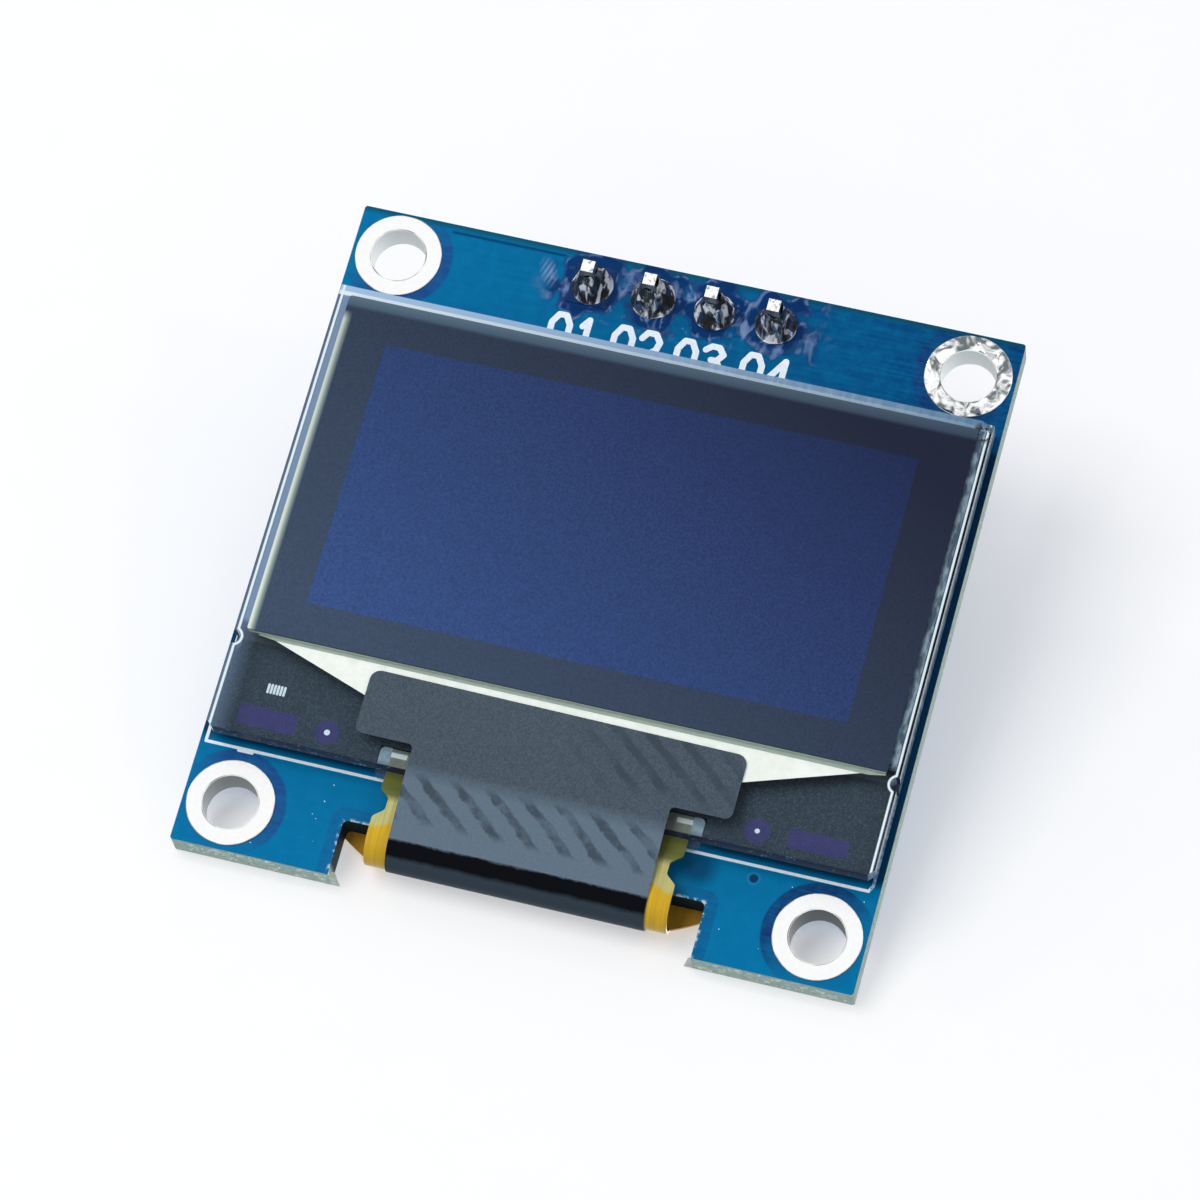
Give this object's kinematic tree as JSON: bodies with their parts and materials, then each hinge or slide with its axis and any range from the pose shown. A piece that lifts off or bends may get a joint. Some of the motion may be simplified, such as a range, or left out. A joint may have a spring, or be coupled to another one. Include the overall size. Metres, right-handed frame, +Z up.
{
  "type": "small oled display module",
  "caption": "Small bare-glass display on a circuit board with corner mounting holes, a film cable folded through a notch under black tape, and a pin header at the back.",
  "frame": {"origin": "centre of the four mounting holes, on the back faces of their plated lands", "axes": "+Z up to the header's edge, +Y out of the back along the header pins, +X to the right as the screen is read"},
  "size_m": [0.0274, 0.0116, 0.0277],
  "materials": {
    "board": "solder-masked glass-fibre laminate",
    "tin_lands": "tin-plated copper",
    "adhesive": "double-sided tape",
    "rear_glass": "cut sheet glass",
    "seal": "cured resin line",
    "emitting_film": "thin layers on glass",
    "front_glass": "cut sheet glass",
    "polariser": "polarising film",
    "silicon": "bare silicon",
    "sealant": "clear resin",
    "flex": "polyimide film",
    "solder": "reflowed solder",
    "tape": "matt black film",
    "header_plastic": "moulded",
    "pins": "tin-plated brass",
    "moulded_epoxy": "moulded epoxy",
    "capacitor_ceramic": "fired ceramic",
    "terminals": "tin-plated",
    "resistor_glaze": "black glaze on ceramic"
  },
  "bodies": {
    "root": {"circuit_board": "board", "mounting_hole_lands": "tin_lands", "header_lands": "tin_lands", "flex_lands": "tin_lands", "component_lands": "tin_lands", "panel_adhesive": "adhesive", "rear_glass": "rear_glass", "edge_seal": "seal", "emitting_film": "emitting_film", "front_glass": "front_glass", "polariser": "polariser", "driver_chip": "silicon", "sealant_beads": "sealant", "flex_cable": "flex", "flex_solder": "solder", "black_tape": "tape", "header_housing": "header_plastic", "header_pin_1": "pins", "header_pin_2": "pins", "header_pin_3": "pins", "header_pin_4": "pins", "header_solder_1": "solder", "header_solder_2": "solder", "header_solder_3": "solder", "header_solder_4": "solder", "regulator_body": "moulded_epoxy", "regulator_leads": "pins", "capacitor_bodies": "capacitor_ceramic", "capacitor_ends": "terminals", "resistor_bodies": "resistor_glaze", "resistor_ends": "terminals", "component_solder": "solder"}
  },
  "joints": []
}
